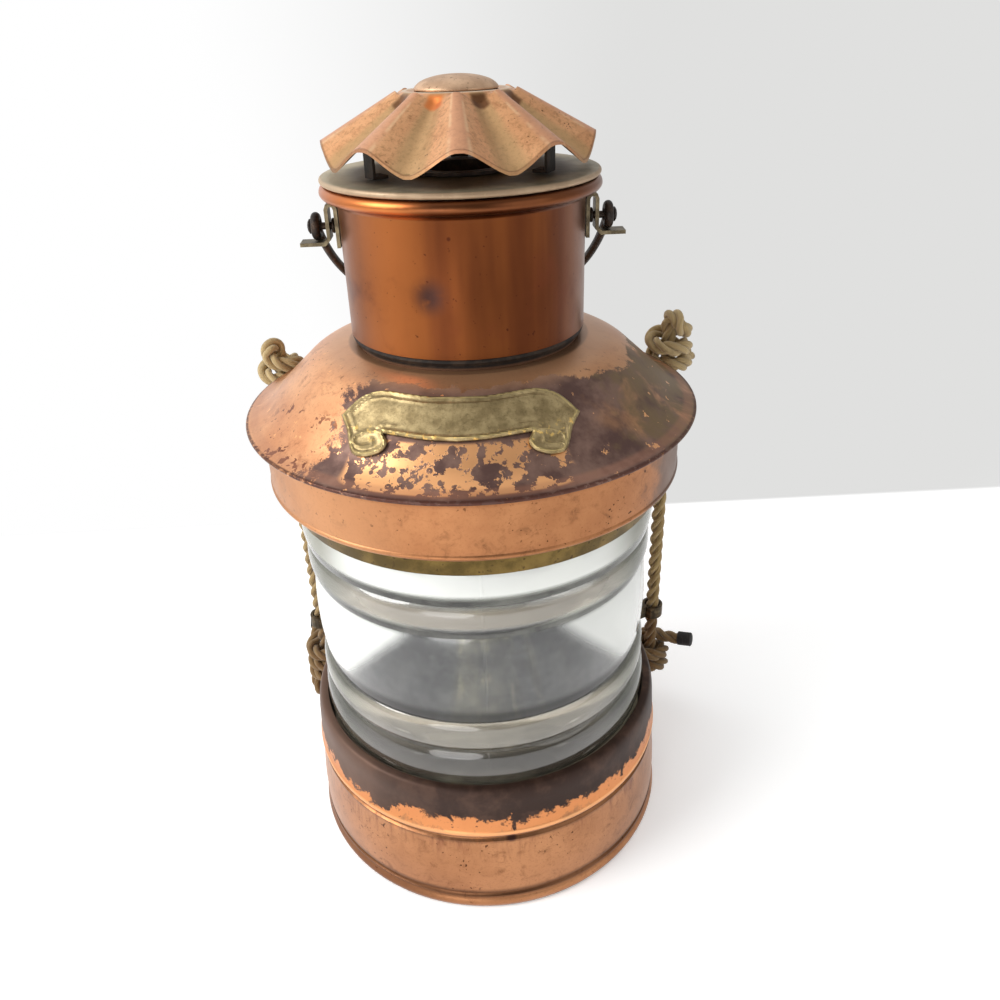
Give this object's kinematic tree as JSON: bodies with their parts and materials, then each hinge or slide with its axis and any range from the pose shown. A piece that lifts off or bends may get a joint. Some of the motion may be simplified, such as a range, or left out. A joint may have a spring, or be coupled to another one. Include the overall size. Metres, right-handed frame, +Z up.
{
  "type": "masthead lantern",
  "caption": "Round copper ship's masthead lantern with a stepped glass lens, vented chimney, fluted cap, wire bail, oil burner and knotted halyard ropes in side eyes.",
  "frame": {"origin": "centre of the flat underside of the base pan", "axes": "+Z up along the lantern's axis, the lit front with the plaque faces -Y, +X is to the right seen from the front and along the bail's pivots"},
  "size_m": [0.1858, 0.1604, 0.2918],
  "materials": {
    "copper": "worn satin copper",
    "worn_copper": "darkened polished copper",
    "lacquered_copper": "copper under worn brown lacquer",
    "brass": "aged brass",
    "dull_brass": "tarnished brass",
    "bronze": "dark bronze patina",
    "tinplate": "tinned sheet",
    "iron": "blackened iron wire",
    "glass": "clear pressed glass",
    "felt": "packing felt",
    "rope": "laid hemp rope",
    "twine": "tarred whipping twine",
    "cotton": "woven wick cotton"
  },
  "bodies": {
    "housing": {"base_shell": "copper", "base_pan": "copper", "font_seat": "brass", "stepped_lens": "glass", "rear_shield": "copper", "reflector": "tinplate", "lens_post_left": "brass", "lens_post_right": "brass", "lower_gasket": "felt", "upper_gasket": "felt", "lower_gallery": "brass", "upper_gallery": "brass", "crown_band": "copper", "crown_dome": "lacquered_copper", "neck_collar": "copper", "name_plaque": "brass", "lug_upper_right": "bronze", "lug_upper_left": "bronze", "lug_lower_right": "bronze", "lug_lower_left": "bronze", "rope_right": "rope", "rope_left": "rope", "rope_whipping_right": "twine", "rope_whipping_left": "twine"},
    "chimney": {"chimney_barrel": "worn_copper", "top_plate": "bronze", "smoke_bell": "tinplate", "cap_leg_1": "bronze", "cap_leg_2": "bronze", "cap_leg_3": "bronze", "fluted_cap": "copper", "cap_finial": "copper", "bracket_right": "dull_brass", "bracket_left": "dull_brass", "pivot_pin_right": "iron", "pivot_pin_left": "iron"},
    "bail": {"bail_wire": "iron"},
    "font": {"font_tank": "brass", "burner_collar": "brass", "burner_dome": "brass", "wick_tube": "brass"},
    "filler": {"filler_cap": "brass"},
    "wick_drive": {"wick_spindle": "dull_brass", "wick_knob": "brass"},
    "wick_strip": {"wick": "cotton"}
  },
  "joints": [
    {"name": "chimney_lift", "type": "slide", "parent": "housing", "child": "chimney", "axis": [0, 0, 1], "range_m": [0, 0.06]},
    {"name": "bail_swing", "type": "hinge", "parent": "chimney", "child": "bail", "pos_m": [0, 0, 0.2485], "axis": [1, 0, 0], "range_deg": [0, 250]},
    {"name": "font_lift", "type": "slide", "parent": "housing", "child": "font", "axis": [0, 0, 1], "range_m": [0, 0.1]},
    {"name": "filler_cap_turn", "type": "hinge", "parent": "font", "child": "filler", "pos_m": [0, 0.0235, 0.0415], "axis": [0, 0, 1], "continuous": true},
    {"name": "wick_knob_turn", "type": "hinge", "parent": "font", "child": "wick_drive", "pos_m": [0, 0.0057, 0.051], "axis": [1, 0, 0], "range_deg": [-120, 60]},
    {"name": "wick_raise", "type": "slide", "parent": "font", "child": "wick_strip", "axis": [0, 0, 1], "range_m": [-0.0045, 0.0085]}
  ],
  "couplings": [
    {"joint": "wick_raise", "follows": "wick_knob_turn", "m_per_rad": -0.004}
  ]
}
